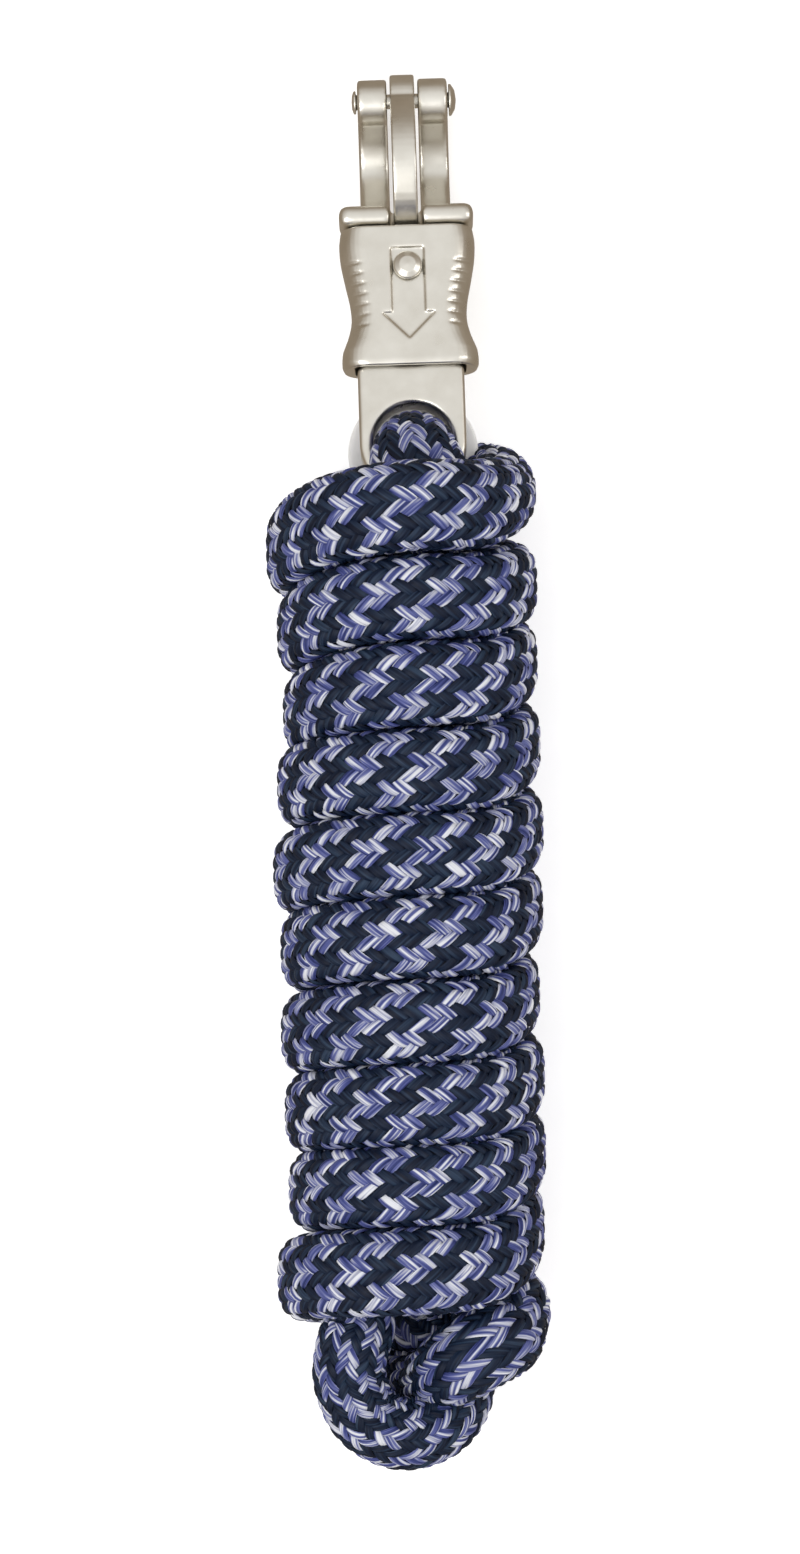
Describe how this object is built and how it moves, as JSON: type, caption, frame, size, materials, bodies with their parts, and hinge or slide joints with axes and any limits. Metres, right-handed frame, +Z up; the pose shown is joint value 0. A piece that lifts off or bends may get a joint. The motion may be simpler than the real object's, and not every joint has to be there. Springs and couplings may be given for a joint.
{
  "type": "lead rope",
  "caption": "Braided lead rope wound into a tight hank, with a metal quick-release panic snap whose sleeve slides back to free a swinging hook tongue.",
  "frame": {"origin": "centre of the footprint of the whole lead rope, on the surface that the hank lies on", "axes": "+Y runs along the hank towards the snap's tip, +Z points up out of the front of the hank, +X to the right seen from the front"},
  "size_m": [0.0606, 0.3195, 0.0619],
  "materials": {
    "satin_nickel": "satin nickel plating on a cast zinc snap, slightly warm, with soft broad highlights",
    "spring_steel": "drawn spring wire",
    "stop_plastic": "milky translucent plastic",
    "braided_rope": "soft braided polypropylene rope, navy with lilac and white flecks",
    "cap_plastic": "black moulded plastic"
  },
  "bodies": {
    "rope_and_snap": {"snap_body": "satin_nickel", "tongue_pin": "satin_nickel", "release_spring": "spring_steel", "rope_stop": "stop_plastic", "rope_eye_run": "braided_rope", "rope_hank": "braided_rope", "rope_bight": "braided_rope", "rope_tail": "braided_rope", "rope_end_cap": "cap_plastic"},
    "sleeve": {"release_sleeve": "satin_nickel", "sleeve_rivet": "satin_nickel"},
    "tongue": {"hook_tongue": "satin_nickel"}
  },
  "joints": [
    {"name": "sleeve_slide", "type": "slide", "parent": "rope_and_snap", "child": "sleeve", "axis": [0.0155, -0.9838, 0.1788], "range_m": [0, 0.008], "stiffness_N_per_m": 400, "springref_m": -0.004, "deforming": ["release_spring"]},
    {"name": "tongue_swing", "type": "hinge", "parent": "rope_and_snap", "child": "tongue", "pos_m": [0.00114, 0.15458, 0.01348], "axis": [-0.9999, -0.0157, 0], "range_deg": [0, 60]}
  ],
  "couplings": [
    {"joint": "tongue_swing", "follows": "sleeve_slide", "rad_per_m": 130}
  ]
}
